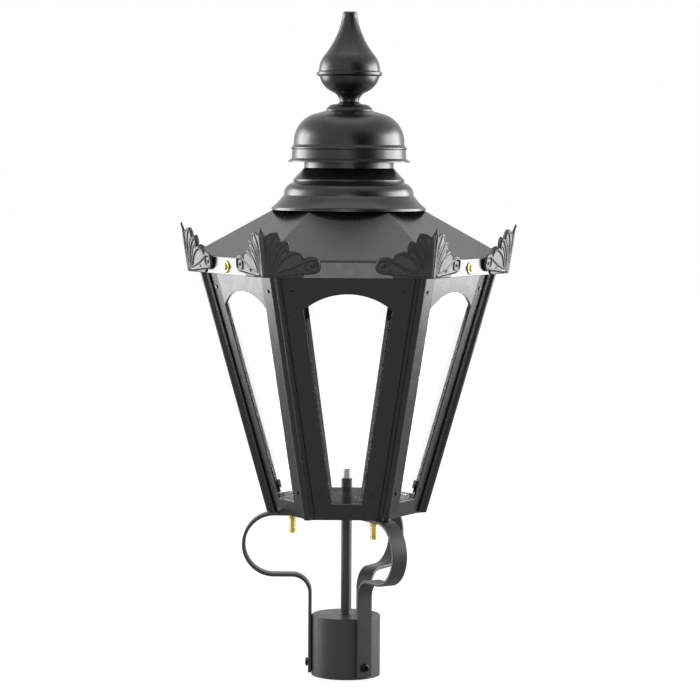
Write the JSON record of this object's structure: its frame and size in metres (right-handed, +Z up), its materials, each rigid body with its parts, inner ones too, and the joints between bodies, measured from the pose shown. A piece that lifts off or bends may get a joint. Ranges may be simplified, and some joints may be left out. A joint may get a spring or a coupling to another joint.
{
  "type": "post top lantern",
  "caption": "Hexagonal glazed lantern for the top of a post, with a lift-off vented roof, corner crests, a spun finial and a bracketed post socket.",
  "frame": {"origin": "centre of the post socket's open mouth, at the lantern's foot", "axes": "+Z up along the post; +X towards a corner of the hexagon, so a flat face with its arched window looks along -Y"},
  "size_m": [0.41, 0.3552, 0.807],
  "materials": {
    "black_steel": "satin black powder coat on steel sheet, bar and tube",
    "black_aluminium": "satin black powder coat on spun and cast aluminium",
    "clear_glass": "clear flat glass",
    "brass": "plain turned brass",
    "zinc_steel": "bright zinc plated steel",
    "black_screw": "black oxide steel"
  },
  "bodies": {
    "lantern": {"arm_studs": "brass", "base_frame": "black_steel", "bracket_arm_1": "black_steel", "bracket_arm_2": "black_steel", "bracket_arm_3": "black_steel", "corner_bar_1": "black_steel", "corner_bar_2": "black_steel", "corner_bar_3": "black_steel", "corner_bar_4": "black_steel", "corner_bar_5": "black_steel", "corner_bar_6": "black_steel", "floor_plate": "black_steel", "floor_screws": "zinc_steel", "glass_pane_1": "clear_glass", "glass_pane_2": "clear_glass", "glass_pane_3": "clear_glass", "glass_pane_4": "clear_glass", "glass_pane_5": "clear_glass", "glass_pane_6": "clear_glass", "glazing_clips": "zinc_steel", "lampholder_nipple": "zinc_steel", "panel_rivets": "black_steel", "post_socket": "black_steel", "side_panel_1": "black_steel", "side_panel_2": "black_steel", "side_panel_3": "black_steel", "side_panel_4": "black_steel", "side_panel_5": "black_steel", "side_panel_6": "black_steel", "socket_top_plate": "black_steel", "stud_nuts": "brass", "supply_tube": "black_steel", "top_rail": "black_steel", "tube_locknuts": "zinc_steel"},
    "roof": {"collar": "black_aluminium", "corner_crest_1": "black_aluminium", "corner_crest_2": "black_aluminium", "corner_crest_3": "black_aluminium", "corner_crest_4": "black_aluminium", "corner_crest_5": "black_aluminium", "corner_crest_6": "black_aluminium", "crest_rivets": "black_steel", "cup_washers": "brass", "dome_cap": "black_aluminium", "eave_band": "black_steel", "finial_bolt": "zinc_steel", "finial_lower": "black_aluminium", "finial_upper": "black_aluminium", "rod_spacer": "zinc_steel", "roof_seat": "black_steel", "roof_shell": "black_steel", "vent_base": "black_aluminium", "vent_spider": "zinc_steel", "weld_nuts": "zinc_steel"},
    "post_screw_1": {"post_screw_1": "black_screw"},
    "post_screw_2": {"post_screw_2": "black_screw"},
    "post_screw_3": {"post_screw_3": "black_screw"},
    "roof_screw_1": {"roof_screw_1": "brass"},
    "roof_screw_2": {"roof_screw_2": "brass"},
    "roof_screw_3": {"roof_screw_3": "brass"}
  },
  "joints": [
    {"name": "roof_lift", "type": "slide", "parent": "lantern", "child": "roof", "axis": [0, 0, 1], "range_m": [0, 0.12]},
    {"name": "roof_screw_1_out", "type": "slide", "parent": "roof", "child": "roof_screw_1", "axis": [0, 1, 0], "range_m": [0, 0.008]},
    {"name": "roof_screw_2_out", "type": "slide", "parent": "roof", "child": "roof_screw_2", "axis": [-0.866, -0.5, 0], "range_m": [0, 0.008]},
    {"name": "roof_screw_3_out", "type": "slide", "parent": "roof", "child": "roof_screw_3", "axis": [0.866, -0.5, 0], "range_m": [0, 0.008]},
    {"name": "post_screw_1_out", "type": "slide", "parent": "lantern", "child": "post_screw_1", "axis": [0.5, 0.866, 0], "range_m": [0, 0.008]},
    {"name": "post_screw_2_out", "type": "slide", "parent": "lantern", "child": "post_screw_2", "axis": [-1, 0, 0], "range_m": [0, 0.008]},
    {"name": "post_screw_3_out", "type": "slide", "parent": "lantern", "child": "post_screw_3", "axis": [0.5, -0.866, 0], "range_m": [0, 0.008]}
  ]
}
